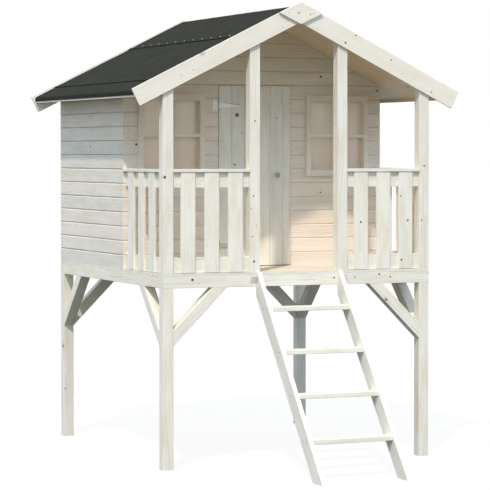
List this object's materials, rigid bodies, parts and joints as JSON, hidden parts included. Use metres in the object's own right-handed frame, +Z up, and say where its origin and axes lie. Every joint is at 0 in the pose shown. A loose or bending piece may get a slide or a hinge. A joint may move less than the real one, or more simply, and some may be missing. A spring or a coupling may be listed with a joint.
{
  "type": "playhouse",
  "caption": "Raised wooden playhouse on legs with a ladder, railed porch, gabled cabin with windows and a hinged door, and a felted pitched roof.",
  "frame": {"origin": "on the ground, at the middle of the overall width and of the overall length including the ladder", "axes": "+X to the right seen from the ladder side, +Y from the ladder towards the rear of the cabin, +Z up"},
  "size_m": [2.292, 3.0138, 2.9566],
  "materials": {
    "glazed_pine": "planed pine with a thin white glaze, grain and knots showing through",
    "natural_pine": "planed pine without glaze, warm, grain and knots showing",
    "knob_wood": "turned wood, lightly varnished",
    "galvanised_steel": "zinc-plated sheet steel, satin",
    "roofing_felt": "bitumen roofing felt with a fine mineral surface, matt charcoal",
    "clear_acrylic": "clear acrylic sheet"
  },
  "bodies": {
    "house": {"apex_plate": "glazed_pine", "bargeboard_front_left": "glazed_pine", "bargeboard_front_right": "glazed_pine", "bargeboard_rear_left": "glazed_pine", "bargeboard_rear_right": "glazed_pine", "beam_front": "glazed_pine", "beam_left": "glazed_pine", "beam_rear": "glazed_pine", "beam_right": "glazed_pine", "brace_front_left_across": "glazed_pine", "brace_front_left_deep": "glazed_pine", "brace_front_right_across": "glazed_pine", "brace_front_right_deep": "glazed_pine", "brace_rear_left_across": "glazed_pine", "brace_rear_left_deep": "glazed_pine", "brace_rear_right_across": "glazed_pine", "brace_rear_right_deep": "glazed_pine", "felt_left": "roofing_felt", "felt_ridge": "roofing_felt", "felt_right": "roofing_felt", "floor_deck": "natural_pine", "hinge_plate_lower": "galvanised_steel", "hinge_plate_upper": "galvanised_steel", "joist_left": "glazed_pine", "joist_right": "glazed_pine", "ladder_bracket_left": "galvanised_steel", "ladder_bracket_right": "galvanised_steel", "ladder_stringer_left": "glazed_pine", "ladder_stringer_right": "glazed_pine", "ladder_tread_1": "glazed_pine", "ladder_tread_2": "glazed_pine", "ladder_tread_3": "glazed_pine", "ladder_tread_4": "glazed_pine", "leg_front_left": "glazed_pine", "leg_front_right": "glazed_pine", "leg_rear_left": "glazed_pine", "leg_rear_right": "glazed_pine", "porch_post_corner_left": "glazed_pine", "porch_post_corner_right": "glazed_pine", "porch_post_inner_left": "glazed_pine", "porch_post_inner_right": "glazed_pine", "railing_front_left": "glazed_pine", "railing_front_right": "glazed_pine", "railing_side_left": "glazed_pine", "railing_side_right": "glazed_pine", "roof_panel_left": "natural_pine", "roof_panel_right": "natural_pine", "wall_front": "glazed_pine", "wall_left": "glazed_pine", "wall_rear": "glazed_pine", "wall_right": "glazed_pine", "window_frame_left": "glazed_pine", "window_frame_right": "glazed_pine", "window_pane_left": "clear_acrylic", "window_pane_right": "clear_acrylic"},
    "door": {"door_leaf": "glazed_pine", "door_ledges": "glazed_pine", "hinge_strap_upper": "galvanised_steel", "hinge_strap_lower": "galvanised_steel", "door_knob": "knob_wood"}
  },
  "joints": [
    {"name": "door_hinge", "type": "hinge", "parent": "house", "child": "door", "pos_m": [-0.2605, 0.20378, 1.841], "axis": [0, 0, -1], "range_deg": [0, 160]}
  ]
}
